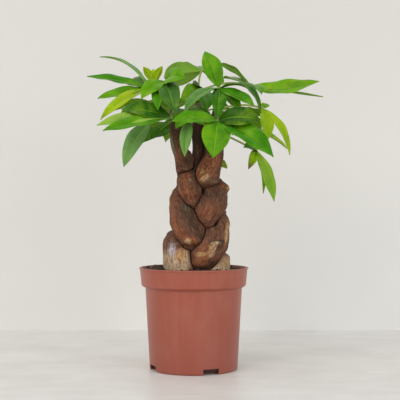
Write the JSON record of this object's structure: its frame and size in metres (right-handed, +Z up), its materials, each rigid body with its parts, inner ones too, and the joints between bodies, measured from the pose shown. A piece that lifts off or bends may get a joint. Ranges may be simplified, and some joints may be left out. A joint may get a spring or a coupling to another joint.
{
  "type": "potted money tree",
  "caption": "Small potted house plant with a braided woody trunk and a crown of palmate leaves, in a round plastic nursery pot filled with soil.",
  "frame": {"origin": "centre of the pot's flat underside, on the surface that it stands on", "axes": "+Z up along the pot's axis; -Y towards the side that the picture shows; +X to that side's right"},
  "size_m": [0.2662, 0.2317, 0.3515],
  "materials": {
    "pot_plastic": "satin terracotta-coloured moulded plastic, faintly streaked",
    "soil": "moist dark potting soil, crumbly and matte",
    "bark": "rough reddish brown bark with fine lengthwise fibres, knots and pale scars",
    "shoot": "green young wood, satin",
    "leaf": "glossy green leaf with a pale midrib and side veins",
    "young_leaf": "satin yellow-green young leaf with a pale midrib and side veins"
  },
  "bodies": {
    "root": {"pot": "pot_plastic", "soil": "soil", "stem_left": "bark", "stem_centre": "bark", "stem_right": "bark", "shoot_left": "shoot", "shoot_centre": "shoot", "shoot_right": "shoot", "leaf_front_right": "leaf", "leaf_front_low": "leaf", "leaf_right_far": "leaf", "leaf_left_far": "leaf", "leaf_left_low": "leaf", "leaf_left_hanging": "leaf", "leaf_top": "leaf", "leaf_middle": "leaf", "leaf_crown_middle": "leaf", "leaf_left_upper": "leaf", "leaf_front_small": "leaf", "leaf_back_left": "leaf", "leaf_back": "leaf", "leaf_back_right": "leaf", "leaf_left_shaded": "leaf", "leaf_left_tuft": "young_leaf", "leaf_right_young": "young_leaf", "leaf_right_drooping": "young_leaf", "leaf_right_low": "young_leaf"}
  },
  "joints": []
}
